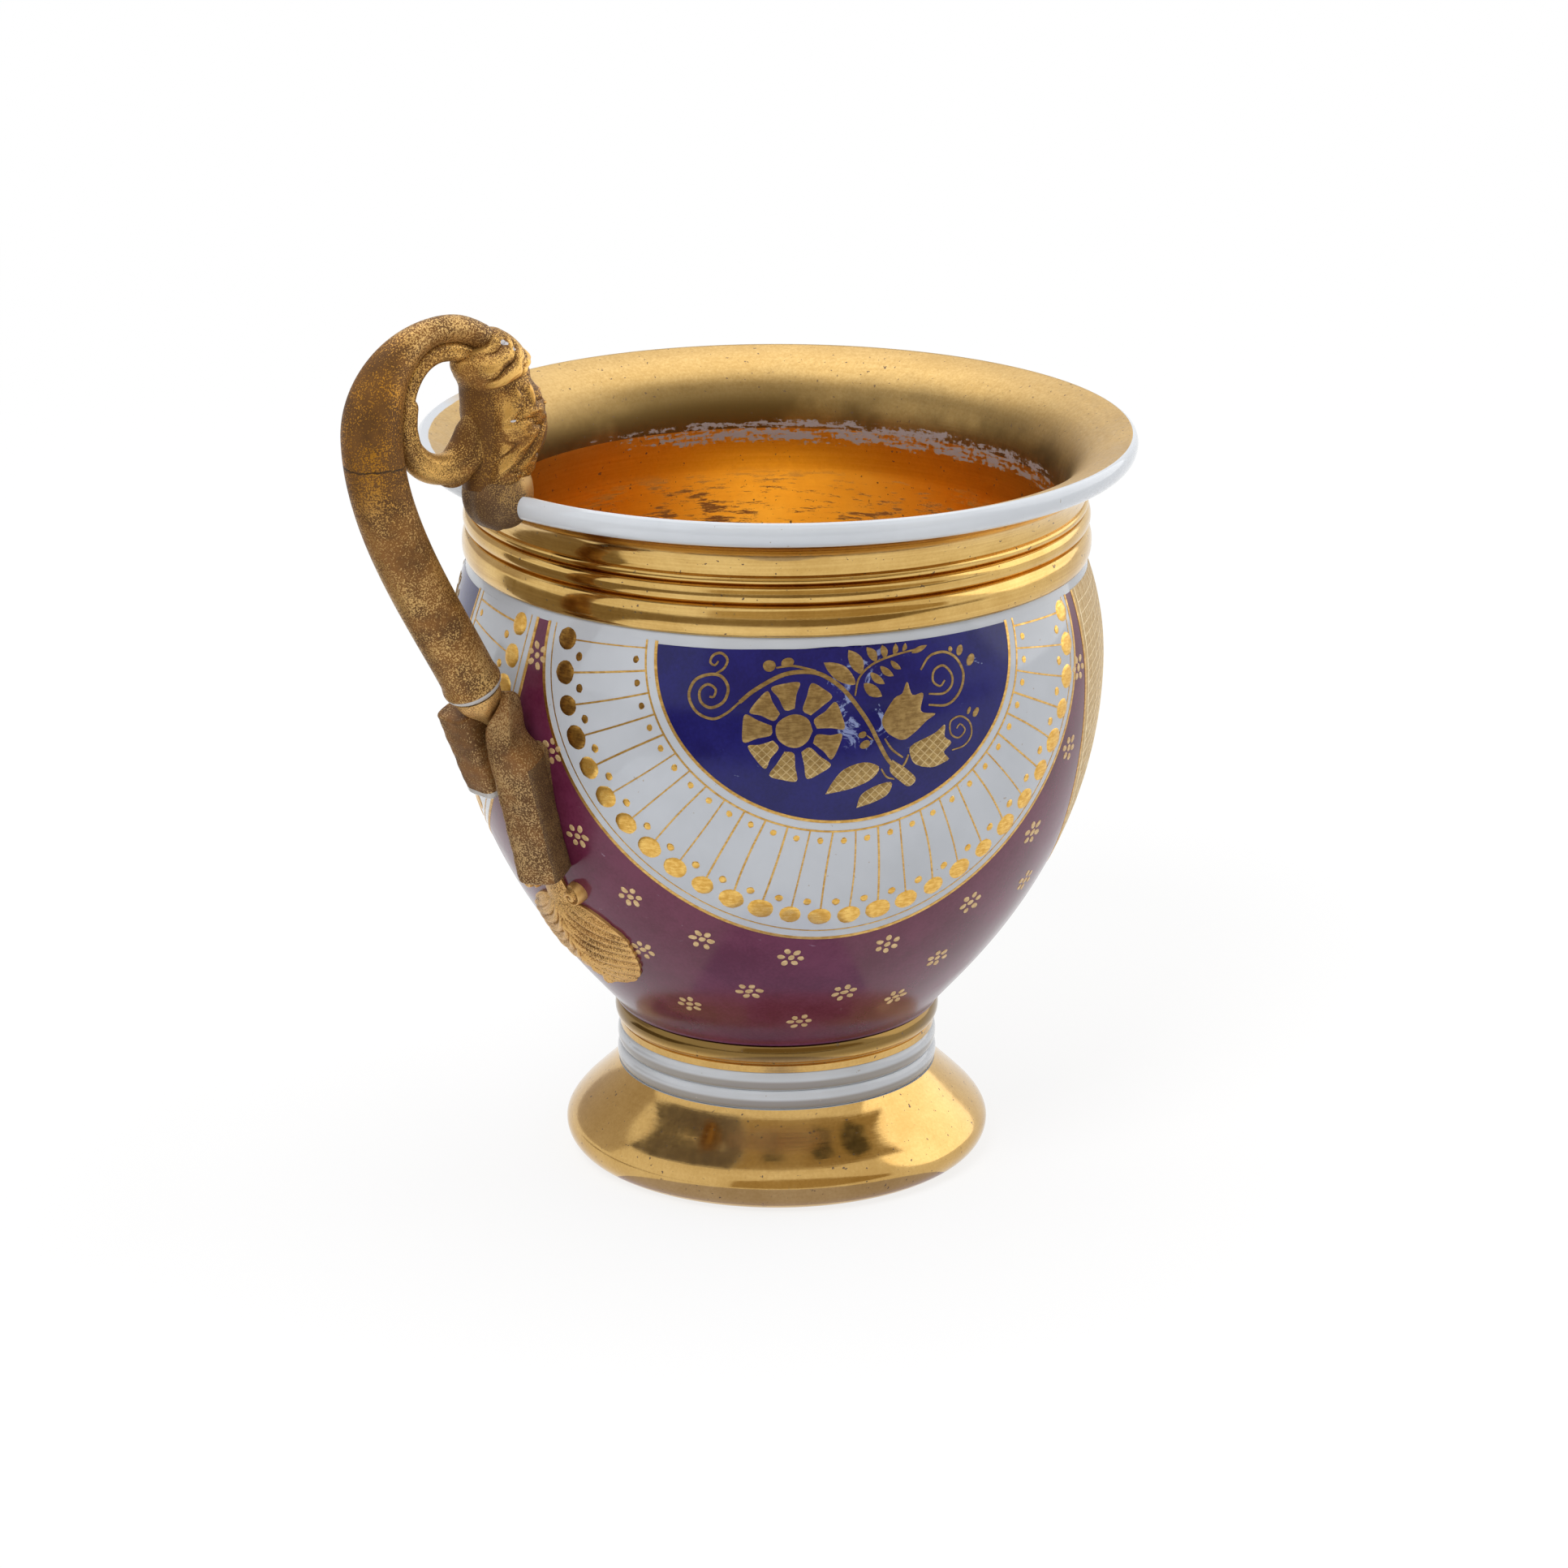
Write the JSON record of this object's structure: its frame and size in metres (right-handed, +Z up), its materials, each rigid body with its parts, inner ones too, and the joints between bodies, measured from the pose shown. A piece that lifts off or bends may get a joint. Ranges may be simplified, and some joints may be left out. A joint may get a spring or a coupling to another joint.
{
  "type": "cabinet cup",
  "caption": "Footed porcelain cup with a flared rim, ringed collar and ovoid belly; its crook handle carries a mask head on the rim and runs through pan pipes into a ribbed palmette.",
  "frame": {"origin": "centre of the ring that the foot rests on, at the table", "axes": "+Z up along the cup's axis, -X towards the handle, +Y completing a right-handed frame"},
  "size_m": [0.1103, 0.0888, 0.1158],
  "materials": {
    "enamelled_porcelain": "glossy plum, white and blue enamel with burnished gilding on glazed porcelain",
    "gilt_porcelain": "burnished gold on glazed porcelain, worn on the edges",
    "bronzed_porcelain": "satin brown bronzing with gold flecks on porcelain, worn on the edges"
  },
  "bodies": {
    "root": {"bowl": "enamelled_porcelain", "foot": "gilt_porcelain", "handle_crook": "bronzed_porcelain", "curl_strand": "bronzed_porcelain", "mask_head": "gilt_porcelain", "rim_saddle": "bronzed_porcelain", "calyx": "gilt_porcelain", "long_pipe": "bronzed_porcelain", "short_pipe": "bronzed_porcelain", "volute_knobs": "gilt_porcelain", "palmette": "gilt_porcelain"}
  },
  "joints": []
}
